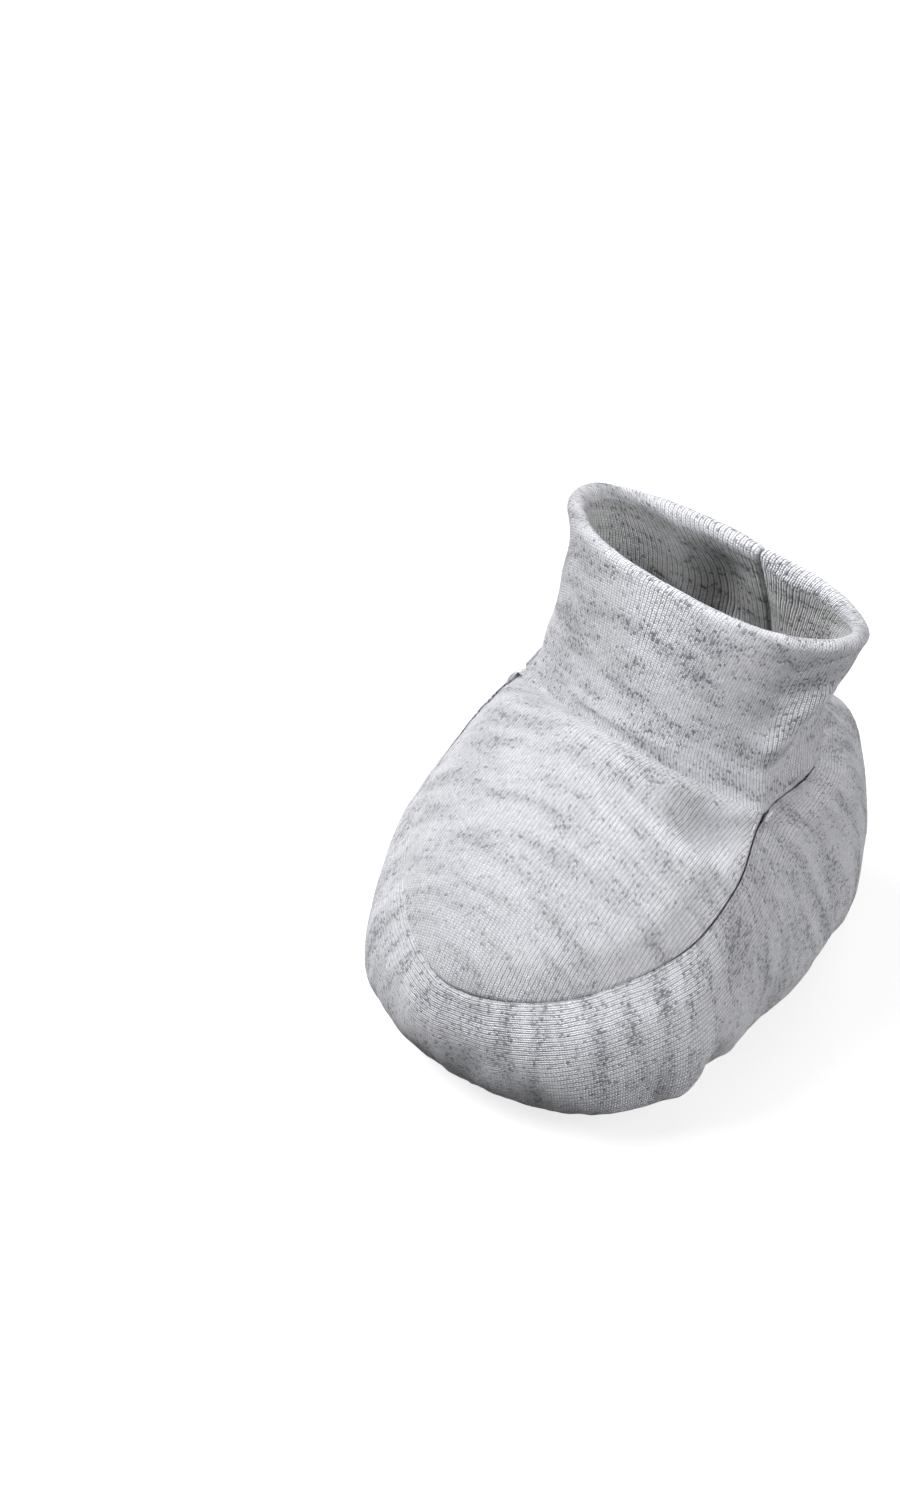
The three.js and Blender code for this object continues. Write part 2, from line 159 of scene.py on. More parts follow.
def band_at(column, share):
    column, share = np.broadcast_arrays(column, share)
    bottom, middle, top = (on_loop(loop, column) for loop in (SOLE_LOOP, BULGE_LOOP, TOP_LOOP))
    handle = 2 * middle - 0.5 * (bottom + top)
    s = share[..., None]
    return (1 - s) ** 2 * bottom + 2 * s * (1 - s) * handle + s**2 * top


def crown(share):
    return np.maximum(0, np.sin(np.pi * np.clip(share, 0, 1))) ** CROWN_FULLNESS


def vamp_at(u, v):
    u, v = np.broadcast_arrays(np.asarray(u, float), np.asarray(v, float))
    sides = CORNER - TOE
    toe_edge = on_loop(TOP_LOOP, -TOE + 2 * TOE * u)
    left, right = on_loop(TOP_LOOP, -TOE - v * sides), on_loop(TOP_LOOP, TOE + v * sides)
    corners = [on_loop(TOP_LOOP, c) for c in (-TOE, TOE, -CORNER, CORNER)]
    a, b = u[..., None], v[..., None]
    point = ((1 - b) * toe_edge + b * instep(u) + (1 - a) * left + a * right
             - (1 - a) * (1 - b) * corners[0] - a * (1 - b) * corners[1]
             - (1 - a) * b * corners[2] - a * b * corners[3])
    lift = VAMP_CROWN * (crown(u) * crown(v))[..., None]
    return point + lift * CROWN_DIRECTION


def sole_at(column, share):
    """The sole from its centre, share 0, over its rolled edge to the seam, share 1."""
    column, share = np.broadcast_arrays(column, share)
    radius = SOLE_SEAM_HEIGHT / (1 - math.cos(SOLE_EDGE_ANGLE))
    centre = np.array([0, SOLE_CENTRE_SHARE * FOOT_LENGTH, 0])
    outward = on_loop(SOLE_LOOP, column) * [1, 1, 0] - centre
    reach = norm(outward, axis=-1)
    outward = outward / reach[..., None]
    flat = reach - radius * math.sin(SOLE_EDGE_ANGLE)
    length = flat + radius * SOLE_EDGE_ANGLE
    along = share * length
    angle = np.clip((along - flat) / radius, 0, SOLE_EDGE_ANGLE)
    out = np.minimum(along, flat) + radius * np.sin(angle)
    point = centre + outward * out[..., None]
    point[..., 2] = radius * (1 - np.cos(angle))
    return point


def cuff_ring(ring, height, share):
    angle = 2 * np.pi * share
    power = 2 / ring["squareness"]

    def bulge(value):
        return np.sign(value) * np.abs(value) ** power

    forward = -ring["half_depth"] * bulge(np.cos(angle))
    rise = forward * math.tan(math.radians(ring["pitch"]))
    x = ring["half_width"] * bulge(np.sin(angle))
    return slumped(np.stack([x, ring["centre_y"] + forward, height + rise], -1))


def collar_at(step):
    """Where the cuff starts and how far round it that is; from the heel by -X over the instep."""
    step = np.asarray(step, float)
    left = np.clip(step, 0, SIDE_STEPS)
    over = np.clip(step - SIDE_STEPS, 0, VAMP_STEPS)
    back = np.clip(step - SIDE_STEPS - VAMP_STEPS, 0, SIDE_STEPS)
    side_share = 0.5 - CORNER_SHARE
    share = (0.5 + (left + back) / SIDE_STEPS * side_share
             + 2 * CORNER_SHARE * over / VAMP_STEPS)
    base = np.where((step <= SIDE_STEPS)[..., None], on_loop(TOP_LOOP, HEEL + left),
                    np.where((step < SIDE_STEPS + VAMP_STEPS)[..., None],
                             instep(over / VAMP_STEPS), on_loop(TOP_LOOP, CORNER + back)))
    return base, share


def cuff_at(step, rise):
    step, rise = np.broadcast_arrays(np.asarray(step, float), np.asarray(rise, float))
    base, share = collar_at(step)
    waist = cuff_ring(WAIST, COLLAR_HEIGHT + CUFF_WAIST_RISE, share)
    rim = cuff_ring(RIM, COLLAR_HEIGHT + CUFF_HEIGHT, share)
    w = rise[..., None]
    return (1 - w) * (1 - 2 * w) * base + 4 * w * (1 - w) * waist + w * (2 * w - 1) * rim


# ---- Grids whose rows crowd towards the seams ----
MOST_CROWDED_SHARE = 0.3
NEAR_SEAM = np.array([0.0, 0.1, 0.25, 0.45, 0.7, 1.0, 1.4, 1.9, 2.6, 3.5])


def lengths_along(points):
    steps = norm(np.diff(points, axis=-2), axis=-1)
    start = np.zeros(steps.shape[:-1] + (1,))
    return np.concatenate([start, np.cumsum(steps, -1)], -1)


def distances(length, middle_rows, start, end):
    """Row distances along a line of that length, crowded at the ends that are seams."""
    low = NEAR_SEAM if start else NEAR_SEAM[:1]
    high = NEAR_SEAM if end else NEAR_SEAM[:1]
    limit = MOST_CROWDED_SHARE * length
    low = low * min(1.0, limit / NEAR_SEAM[-1])
    high = high * min(1.0, limit / NEAR_SEAM[-1])
    middle = np.linspace(low[-1], length - high[-1], middle_rows)[1:-1]
    return np.concatenate([low, middle, length - high[::-1]])


def shares_for(surface, columns, middle_rows, start, end, samples=90):
    """For each column, the surface's own shares at which its crowded rows lie, and their lengths."""
    fine = np.linspace(0, 1, samples)
    run = lengths_along(surface(columns[:, None], fine[None, :]))
    rows = [distances(r[-1], middle_rows, start, end) for r in run]
    shares = np.array([np.interp(d, r, fine) for d, r in zip(rows, run)])
    return shares, np.array(rows)


def crowded_columns(count_range, mm_per_column, middle):
    low, high = count_range
    return low + distances((high - low) * mm_per_column, middle, True, True) / mm_per_column


def unit(vectors):
    return vectors / norm(vectors, axis=-1, keepdims=True)


def normals_of(grid, wrap):
    """Unit normals of a grid [column, row, 3], outward for columns anticlockwise and rows rising."""
    if wrap:
        across = np.roll(grid, -1, 0) - np.roll(grid, 1, 0)
    else:
        across = np.gradient(grid, axis=0)
    along = np.gradient(grid, axis=1)
    cross = np.cross(across, along)
    size = norm(cross, axis=-1, keepdims=True)
    if size[:, -1].max() < 1e-6:
        cross[:, -1] = (cross[:, -2] / size[:, -2]).mean(0)
        size = norm(cross, axis=-1, keepdims=True)
    return cross / np.maximum(size, 1e-9)


def eased(grid, passes):
    for _ in range(passes):
        grid[1:-1] = (grid[:-2] + 2 * grid[1:-1] + grid[2:]) / 4
    return grid


class Panel:
    """A piece of cloth: a grid of points with its sewn edges."""

    def __init__(self, grid, uv, wrap, borders, swelling):
        self.grid = grid
        self.swelling = swelling
        self.uv = uv
        self.wrap = wrap
        self.normals = normals_of(grid, wrap)
        self.borders = borders
        self.lines = [self.border_line(b) for b in borders]

    def border_line(self, border):
        place = {"low": np.s_[:, 0], "high": np.s_[:, -1], "first": np.s_[0, :], "last": np.s_[-1, :]}
        pick = place[border["edge"]]
        points, normals = self.grid[pick], self.normals[pick]
        keep = border.get("part")
        if keep is not None:
            points, normals = points[keep], normals[keep]
        if self.wrap and border["edge"] in ("low", "high") and keep is None:
            points = np.concatenate([points, points[:1]])
            normals = np.concatenate([normals, normals[:1]])
        return points, normals


CHUNK = 400        # points compared with the others at one time


def nearest_on(points, line):
    """Distance from each point to a polyline, with the segment and the place on it."""
    starts, steps = line[:-1], np.diff(line, axis=0)
    squares = np.maximum((steps**2).sum(-1), 1e-12)
    found = [np.empty(len(points)), np.empty(len(points), int), np.empty(len(points))]
    for low in range(0, len(points), CHUNK):
        part = points[low:low + CHUNK]
        gap = part[:, None] - starts[None]
        t = np.clip((gap * steps).sum(-1) / squares, 0, 1)
        gap -= t[..., None] * steps
        d = np.sqrt((gap**2).sum(-1))
        best = d.argmin(1)
        rows = np.arange(len(part))
        for store, value in zip(found, (d[rows, best], best, t[rows, best])):
            store[low:low + CHUNK] = value
    return found


MEETING_REACH, LEAST_FACING = 1.6, -0.2


def share_directions(panels):
    """At each sewn edge, the mean normal of all panels that meet there."""
    points = np.concatenate([line[0] for p in panels for line in p.lines])
    normals = np.concatenate([line[1] for p in panels for line in p.lines])
    owner = np.concatenate([np.full(len(line[0]), k) for k, p in enumerate(panels)
                            for line in p.lines])
    for k, panel in enumerate(panels):
        panel.seam_directions = []
        for line, own in panel.lines:
            d = norm(line[:, None] - points[None], axis=-1)
            facing = (own[:, None] * normals[None]).sum(-1) > LEAST_FACING
            total = own.copy()
            for other in sorted(set(range(len(panels))) - {k}):
                near = (d < MEETING_REACH) & (owner == other)[None] & facing
                weight = near / np.maximum(near.sum(1, keepdims=True), 1)
                total += weight @ normals
            panel.seam_directions.append(unit(total))


def smooth_step(value):
    value = np.clip(value, 0, 1)
    return value * value * (3 - 2 * value)


def wave(along, seed, longest=7.5, shortest=2.4, terms=7):
    """A fixed irregular ripple of height about 1 along a seam."""
    picks = np.random.default_rng(seed)
    total = np.zeros_like(along)
    for size in np.geomspace(longest, shortest, terms):
        total += np.sin(2 * np.pi * along / size + picks.uniform(0, 2 * np.pi)) * picks.uniform(0.4, 1)
    return total / math.sqrt(terms)


def cloud(points, size, seed=0.0):
    flat = points.reshape(-1, 3) / size + seed
    values = [noise.noise(Vector(p)) for p in flat]
    return np.array(values).reshape(points.shape[:-1])


def lip_drop(distance, radius):
    inside = np.clip(radius - distance, 0, radius)
    return radius - np.sqrt(np.maximum(radius**2 - inside**2, 0))


DIRECTION_REACH = 3.0
TOUCH_FADE, SETTLED_FADE = 2.5, 2.5
UNEVENNESS = [(0.42, 13, 3.1, 4), (0.09, 4.5, 8.7, 3)]   # height, size, seed, fade at the seams
CORNER_TUCK, CORNER_TUCK_REACH = 1.6, 3.5
INSTEP_FILL, FILL_REACH = 1.9, 4.0
FILL_HALF_WIDTH, FILL_FADE = 24.0, 13.0


def instep_fill(seam_points):
    """How far the cloth rises over the instep seam, so that vamp and cuff meet in a soft valley."""
    sideways = smooth_step((FILL_HALF_WIDTH - np.abs(seam_points[:, 0])) / FILL_FADE)
    return INSTEP_FILL * sideways * (seam_points[:, 1] < ANKLE_MIDDLE / 2)


def stuffed(panel, extra=None, clearance=0.05, settled=None):
    """The panel with its edges rolled into the seams, puckers beside them, and the pad's swelling."""
    shape = panel.grid.shape[:2]
    points = panel.grid.reshape(-1, 3)
    normals = panel.normals.reshape(-1, 3).copy()
    lift = np.zeros(len(points))
    best = np.full(len(points), np.inf)
    turned = normals.copy()
    swell = np.ones(len(points))
    inward = np.zeros_like(points)
    raised = np.zeros_like(points)
    leaning, shared = np.zeros_like(points), np.zeros(len(points))
    for border, (line, _), directions in zip(panel.borders, panel.lines, panel.seam_directions):
        d, segment, t = nearest_on(points, line)
        run = lengths_along(line)
        along = run[segment] + t * (run[segment + 1] - run[segment])
        weight = t[:, None]
        seam_direction = directions[segment] * (1 - weight) + directions[segment + 1] * weight
        closeness = 1 - smooth_step(d / DIRECTION_REACH)
        turned += closeness[:, None] * 3 * (seam_direction - normals)
        leaning += closeness[:, None] * seam_direction
        shared += closeness
        radius = border["lip"]
        if callable(radius):
            radius = radius(along / run[-1])
        drop = lip_drop(d, radius)
        ripple = wave(along, border["seed"]) * border["pucker"]
        lift -= drop
        lift += ripple * np.exp(-((d / border["pucker_reach"]) ** 2)) * (1 - np.exp(-d / 0.8))
        swell *= 1 - np.exp(-((d / border["swell_reach"]) ** 1.5))
        foot = line[segment] * (1 - weight) + line[segment + 1] * weight
        if border.get("filled"):
            rise = instep_fill(foot) * np.exp(-((d / FILL_REACH) ** 2))
            raised += rise[:, None] * seam_direction
        away = points - foot
        close = np.maximum(clearance - d, 0)
        size = norm(away, axis=-1)
        side = np.cross(directions[segment], line[segment + 1] - line[segment])
        side /= np.maximum(norm(side, axis=-1, keepdims=True), 1e-9)
        side *= border.get("inside", 1)
        away = np.where((size > 1e-4)[:, None], away / np.maximum(size, 1e-9)[:, None], side)
        inward += away * close[:, None]
        best = np.minimum(best, d)
    turned = unit(turned)
    level = normals * (1 - np.minimum(shared, 1))[:, None] + leaning / np.maximum(shared, 1)[:, None]
    lift += panel.swelling * swell
    if extra is not None:
        lift += extra * smooth_step(best / TOUCH_FADE)
    for height, size, seed, fade in UNEVENNESS:
        lift += height * cloud(points, size, seed) * smooth_step(best / fade)
    moved = points + turned * lift[:, None] + inward + raised
    if settled is not None:
        moved += settled.reshape(-1, 3) * smooth_step(best / SETTLED_FADE)[:, None]
    ends = np.array([line[k] for line, _ in panel.lines for k in (0, -1)])
    corner_gap = norm(points[:, None] - ends[None], axis=-1).min(1)
    panel.tuck = (CORNER_TUCK * np.exp(-((corner_gap / CORNER_TUCK_REACH) ** 2))).reshape(*shape, 1)
    panel.clearance = best.reshape(shape)
    panel.turned = unit(level).reshape(*shape, 3)
    panel.pulled_in = (points + inward).reshape(*shape, 3)
    return moved.reshape(*shape, 3)


# ---- Cloth simulation ----
SIM_SCALE = 0.02
SIM_FRAMES = 20
SIM_CAP = 1.5
CLOTH = dict(quality=5, mass=0.2, tension_stiffness=12, compression_stiffness=12, shear_stiffness=6,
             bending_stiffness=0.3, use_pressure=True, uniform_pressure_force=3.0,
             shrink_min=-0.035, vertex_group_mass="pinned")
CARRY_REACH = 2.2


def simulated(grid, wrap):
    """How cloth cut a little too large for its sewn outline settles under the stuffing's pressure.
    Returns the movement of each grid point, in millimetres; the sewn edges are pinned."""
    columns, rows = grid.shape[:2]
    pole = bool(np.ptp(grid[:, -1], axis=0).max() < 1e-6)
    used = rows - 1 if pole else rows
    points = grid[:, :used].reshape(-1, 3)
    faces = grid_faces(columns, used, wrap).tolist()
    if pole:
        points = np.concatenate([points, grid[:1, -1]])
        faces += [[c * used + used - 1, ((c + 1) % columns) * used + used - 1, len(points) - 1]
                  for c in range(columns)]
    pinned = np.zeros((columns, used), bool)
    pinned[:, 0] = True
    if not pole:
        pinned[:, -1] = True
    if not wrap:
        pinned[[0, -1]] = True
    mesh = bpy.data.meshes.new("sim_cloth")
    mesh.from_pydata((points * SIM_SCALE).tolist(), [], faces)
    cloth_object = linked("sim_cloth", mesh)
    scene = bpy.context.scene
    group = cloth_object.vertex_groups.new(name="pinned")
    group.add(np.flatnonzero(pinned.ravel()).tolist(), 1.0, "REPLACE")
    cloth = cloth_object.modifiers.new("cloth", "CLOTH")
    for key, value in CLOTH.items():
        setattr(cloth.settings, key, value)
    cloth.settings.effector_weights.gravity = 0
    cloth.collision_settings.use_collision = False
    cloth.point_cache.frame_end = SIM_FRAMES
    for number in range(1, SIM_FRAMES + 1):
        scene.frame_set(number)
    settled = cloth_object.evaluated_get(bpy.context.evaluated_depsgraph_get()).data
    moved = np.empty(len(settled.vertices) * 3)
    settled.vertices.foreach_get("co", moved)
    moved = moved.reshape(-1, 3) / SIM_SCALE - points
    bpy.data.objects.remove(cloth_object)
    scene.frame_set(1)
    size = norm(moved, axis=-1, keepdims=True)
    moved *= np.minimum(1, SIM_CAP / np.maximum(size, 1e-9))
    return points, moved


def carried(points, movement, grid):
    """Movement of the simulated cloth, carried over to a finer grid by a soft average."""
    found = np.zeros((grid.shape[0] * grid.shape[1], 3))
    flat = grid.reshape(-1, 3)
    for low in range(0, len(flat), CHUNK):
        part = flat[low:low + CHUNK]
        gap = ((part[:, None] - points[None]) ** 2).sum(-1)
        weight = np.exp(-gap / CARRY_REACH**2)
        total = np.maximum(weight.sum(1, keepdims=True), 1e-9)
        found[low:low + CHUNK] = weight @ movement / total
    return found.reshape(grid.shape)


# ---- Meshes ----
def grid_faces(columns, rows, wrap, start=0):
    c = np.arange(columns if wrap else columns - 1)[:, None]
    r = np.arange(rows - 1)[None, :]
    a = start + c * rows + r
    b = start + ((c + 1) % columns) * rows + r
    return np.stack([a, b, b + 1, a + 1], -1).reshape(-1, 4)


def linked(name, data):
    item = bpy.data.objects.new(name, data)
    bpy.context.scene.collection.objects.link(item)
    return item


def sheet_mesh(name, outer, inner, uv, wrap, pole, slots=None):
    """A closed sheet between two grids. With a pole, the last row is a single point."""
    columns, rows = outer.shape[:2]
    if pole:
        rows -= 1
    body = columns * rows
    layers = [g[:, :rows].reshape(-1, 3) for g in (outer, inner)]
    uvs = [uv[:, :rows].reshape(-1, 2)] * 2
    faces = [tuple(f) for f in grid_faces(columns, rows, wrap)]
    face_rows = [i % (rows - 1) for i in range(len(faces))]
    faces += [tuple(f[::-1]) for f in grid_faces(columns, rows, wrap, body)]
    face_rows *= 2

    def at(column, row, layer):
        return (column % columns) * rows + row + layer * body

    spans = range(columns if wrap else columns - 1)
    for c in spans:
        faces.append((at(c + 1, 0, 0), at(c, 0, 0), at(c, 0, 1), at(c + 1, 0, 1)))
        face_rows.append(0)
        if not pole:
            last = rows - 1
            faces.append((at(c, last, 0), at(c + 1, last, 0), at(c + 1, last, 1), at(c, last, 1)))
            face_rows.append(rows - 2)
    if not wrap:
        last = columns - 1
        for r in range(rows - 1):
            faces.append((at(0, r, 0), at(0, r + 1, 0), at(0, r + 1, 1), at(0, r, 1)))
            faces.append((at(last, r + 1, 0), at(last, r, 0), at(last, r, 1), at(last, r + 1, 1)))
            face_rows += [r, r]
    if pole:
        poles = [outer[:, -1].mean(0), inner[:, -1].mean(0)]
        layers.append(np.array(poles))
        uvs.append(np.repeat(uv[:, -1].mean(0)[None], 2, 0))
        for c in spans:
            faces.append((at(c, rows - 1, 0), at(c + 1, rows - 1, 0), 2 * body))
            faces.append((at(c + 1, rows - 1, 1), at(c, rows - 1, 1), 2 * body + 1))
            face_rows += [rows - 1] * 2
    mesh = bpy.data.meshes.new(name)
    mesh.from_pydata((np.concatenate(layers) * MM).tolist(), [], faces)
    per_vertex = np.concatenate(uvs) * MM
    layer = mesh.uv_layers.new(name="cloth")
    corners = np.empty(len(mesh.loops), int)
    mesh.loops.foreach_get("vertex_index", corners)
    layer.data.foreach_set("uv", per_vertex[corners].astype(np.float32).ravel())
    mesh.shade_smooth()
    if slots is not None:
        mesh.polygons.foreach_set("material_index", [int(slots(r)) for r in face_rows])
    return linked(name, mesh)


def inner_face(outer, thickness, wrap):
    return outer - thickness * normals_of(outer, wrap)


def tube(name, path, radius, sides=8, closed=False):
    """A round thread along path; radius may be one number or one for each point."""
    path = np.asarray(path)
    count = len(path)
    radii = np.broadcast_to(radius, count)
    if closed:
        along = np.roll(path, -1, 0) - np.roll(path, 1, 0)
    else:
        along = np.gradient(path, axis=0)
    along = unit(along)
    side = np.empty_like(path)
    start = np.cross(along[0], [0.3, 0.2, 1.0])
    side[0] = start / norm(start)
    for k in range(1, count):
        step = side[k - 1] - along[k] * (side[k - 1] @ along[k])
        side[k] = step / norm(step)
    other = np.cross(along, side)
    angle = np.linspace(0, 2 * np.pi, sides, endpoint=False)
    cosine, sine = np.cos(angle)[None, :, None], np.sin(angle)[None, :, None]
    ring = side[:, None] * cosine + other[:, None] * sine
    points = (path[:, None] + ring * radii[:, None, None]).reshape(-1, 3)
    faces = []
    for k in range(count if closed else count - 1):
        for s in range(sides):
            a, b = k * sides + s, k * sides + (s + 1) % sides
            c, d = ((k + 1) % count) * sides + (s + 1) % sides, ((k + 1) % count) * sides + s
            faces.append((a, b, c, d))
    if not closed:
        faces.append(tuple(range(sides - 1, -1, -1)))
        faces.append(tuple((count - 1) * sides + s for s in range(sides)))
    mesh = bpy.data.meshes.new(name)
    mesh.from_pydata((points * MM).tolist(), [], faces)
    mesh.shade_smooth()
    return linked(name, mesh)


# ---- Materials ----
class Look:
    """A procedural material put together from small named steps."""

    def __init__(self, name, **values):
        self.material = bpy.data.materials.new(name)
        self.material.use_nodes = True
        self.tree = self.material.node_tree
        self.shader = self.tree.nodes["Principled BSDF"]
        for socket, value in values.items():
            self.shader.inputs[socket.replace("_", " ")].default_value = value

    def node(self, kind, inputs=(), **settings):
        node = self.tree.nodes.new(kind)
        for key, value in settings.items():
            setattr(node, key, value)
        for key, value in dict(inputs).items():
            self.feed(node.inputs[key], value)
        return node

    def feed(self, socket, value):
        if isinstance(value, bpy.types.NodeSocket):
            self.tree.links.new(value, socket)
        else:
            socket.default_value = value

    def math(self, operation, *values):
        return self.node("ShaderNodeMath", dict(enumerate(values)), operation=operation).outputs[0]

    def times(self, one, two):
        return self.math("MULTIPLY", one, two)

    def line(self, value, slope, start):
        return self.math("MULTIPLY_ADD", value, slope, start)

    def ramp(self, value, low, high):
        inputs = {"Value": value, "From Min": low, "From Max": high}
        return self.node("ShaderNodeMapRange", inputs, interpolation_type="SMOOTHSTEP").outputs[0]

    def mix(self, share, one, two):
        return self.node("ShaderNodeMix", {0: share, 6: one, 7: two}, data_type="RGBA").outputs[2]

    def vector(self, x, y, z=0.0):
        return self.node("ShaderNodeCombineXYZ", {"X": x, "Y": y, "Z": z}).outputs[0]

    def noise(self, where, scale, detail=2.0, roughness=0.5):
        inputs = {"Vector": where, "Scale": scale, "Detail": detail, "Roughness": roughness}
        return self.node("ShaderNodeTexNoise", inputs).outputs["Fac"]

    def done(self, colour, normal):
        self.feed(self.shader.inputs["Base Color"], colour)
        self.feed(self.shader.inputs["Normal"], normal)
        return self.material

    def bump(self, height, distance, strength=1.0, normal=None):
        inputs = {"Height": height, "Distance": distance, "Strength": strength}
        if normal is not None:
            inputs["Normal"] = normal
        return self.node("ShaderNodeBump", inputs).outputs["Normal"]


WALE = 0.7 * MM
COURSE = 0.46 * MM


def knit(name, light, dark, wale_depth, fleck=1.0, wale=WALE, course=COURSE, painted_groove_shade=0.3,
         rarity=1.2):
    """Marl jersey: columns of V stitches, with single dark stitches gathered in streaks along rows,
    and painted shade darkening the sunk grooves between the stitch legs.
    """
    look = Look(name, Roughness=0.92, Sheen_Weight=0.2, Sheen_Roughness=0.45,
                Specular_IOR_Level=0.25)
    uv = look.node("ShaderNodeUVMap", uv_map="cloth").outputs[0]
    parts = look.node("ShaderNodeSeparateXYZ", {"Vector": uv}).outputs
    place = look.node("ShaderNodeTexCoord").outputs["Object"]
    sway = look.math("SUBTRACT", look.noise(place, 160.0), 0.5)
    x = look.line(parts[0], 1 / wale, look.times(sway, 0.9))
    y = look.line(parts[1], 1 / course, look.times(sway, 1.4))
    leg = look.math("ABSOLUTE", look.line(look.math("FRACT", x), 2.0, -1.0))
    slanted = look.line(leg, 0.45, y)
    loop = look.math("FRACT", slanted)
    across = look.times(look.times(leg, look.math("SUBTRACT", 1.0, leg)), 4.0)
    wale_shape = look.line(look.math("SUBTRACT", 1.0, leg), 0.45, look.math("POWER", across, 0.6))
    loop_shape = look.times(look.times(loop, look.math("SUBTRACT", 1.0, loop)), 4.0)
    height = look.times(wale_shape, look.line(loop_shape, 0.35, 0.65))
    row = look.math("FLOOR", slanted)
    half_stitch = look.vector(look.math("FLOOR", look.times(x, 2.0)), row)
    chance = look.node("ShaderNodeTexWhiteNoise", {"Vector": half_stitch},
                       noise_dimensions="2D").outputs[0]
    yarn = look.noise(look.vector(look.times(x, 0.6), look.times(row, 7.31)), 1.0, 1.0, 0.5)
    clouds = look.noise(look.vector(look.times(x, 0.045), look.times(y, 0.13)), 1.0, 2.0, 0.5)
    lean = look.line(chance, 0.5, look.line(clouds, 1.0, look.times(yarn, 0.9)))
    marl = look.times(look.ramp(lean, rarity, rarity + 0.45), fleck)
    fibre = look.noise(look.vector(look.times(x, 0.9), look.times(row, 3.77)), 1.0, 3.0, 0.75)
    haze = look.times(look.ramp(clouds, 0.38, 0.7), 0.3 * fleck)
    colour = look.mix(look.math("MAXIMUM", marl, haze), light, dark)
    # Painted shade: the value drops where the stitch surface is sunk between the legs; fibre and
    # chance add random tone.
    sunk = look.math("SUBTRACT", 1.0, look.ramp(height, 0.1, 0.95))
    shade = look.line(look.times(sunk, -1.0), painted_groove_shade,
                      look.line(fibre, 0.7, look.line(chance, 0.16, 0.66)))
    hsv = look.node("ShaderNodeHueSaturation", {"Color": colour, "Value": shade}).outputs[0]
    fuzz = look.noise(place, 2600.0, 2.0, 0.6)
    normal = look.bump(fuzz, 0.05 * MM, 0.6)
    return look.done(hsv, look.bump(height, wale_depth, 1.0, normal))


def fibres(name, light, dark, scale, depth):
    look = Look(name, Roughness=0.95, Sheen_Weight=0.3, Sheen_Roughness=0.5, Specular_IOR_Level=0.2)
    place = look.node("ShaderNodeTexCoord").outputs["Object"]
    strands = look.noise(place, scale, 5.0, 0.7)
    colour = look.mix(look.ramp(strands, 0.35, 0.65), dark, light)
    return look.done(colour, look.bump(strands, depth))


def twisted(name, light, dark):
    """Sewing thread: fine ply lines round the strand."""
    look = Look(name, Roughness=0.7, Sheen_Weight=0.15, Specular_IOR_Level=0.35)
    place = look.node("ShaderNodeTexCoord").outputs["Object"]
    ply = look.node("ShaderNodeTexWave", {"Vector": place, "Scale": 2200.0, "Distortion": 1.5},
                    bands_direction="DIAGONAL").outputs["Fac"]
    return look.done(look.mix(ply, dark, light), look.bump(ply, 0.04 * MM))


def grey(value, blue=0.0):
    return (value, value * (1 + 0.2 * blue), value * (1 + blue), 1.0)


PALE_YARN, DARK_YARN = (0.7, 0.703, 0.745, 1), (0.1, 0.104, 0.13, 1)
JERSEY = knit("marl_jersey", PALE_YARN, DARK_YARN, 0.36 * MM, 0.78, painted_groove_shade=0.7, rarity=1.17)
# Painted light: the cuff's outside is a paler copy of the same jersey, its yarn lighter than PALE_YARN
# to stand in for the light it catches.
JERSEY_CUFF_PAINTED_LIGHTER = knit("marl_jersey_cuff_painted_lighter", (0.82, 0.823, 0.872, 1), DARK_YARN, 0.42 * MM, 0.85,
                   painted_groove_shade=0.8)
JERSEY_CALM = knit("marl_jersey_calm", PALE_YARN, DARK_YARN, 0.36 * MM, 0.7, painted_groove_shade=0.7,
                   rarity=1.22)
JERSEY_BACK = knit("marl_jersey_back", grey(0.7, 0.02), grey(0.12, 0.02), 0.6 * MM, 0.9,
                   wale=0.95 * MM, course=0.5 * MM, painted_groove_shade=1.0)
LINING = knit("lining_jersey", grey(0.66, 0.03), grey(0.4, 0.02), 0.12 * MM, 0.4)
WADDING = fibres("polyester_wadding", grey(0.86, -0.02), grey(0.7, -0.02), 900.0, 0.3 * MM)
THREAD = twisted("grey_sewing_thread", grey(0.34, 0.05), grey(0.18, 0.05))
LINING_THREAD = twisted("pale_sewing_thread", grey(0.6, 0.03), grey(0.42, 0.03))


# ---- The panels ----
def border(edge, lip, pucker=0.16, pucker_reach=3.0, swell_reach=5.0, seed=1, **more):
    return dict(edge=edge, lip=lip, pucker=pucker, pucker_reach=pucker_reach,
                swell_reach=swell_reach, seed=seed, **more)


# The knit follows the vamp's bend across it, and its slope behind the instep.
VAMP_BEND, INSTEP_STEEPNESS = 46.0, 1.3
CUFF_NARROWING = 0.96
MM_PER_COLUMN = lengths_along(on_loop(BULGE_LOOP, np.linspace(0, COLUMNS, 400)))[-1] / COLUMNS
MM_PER_COLLAR_STEP = lengths_along(collar_at(np.linspace(0, COLLAR_STEPS, 400))[0])[-1] / COLLAR_STEPS


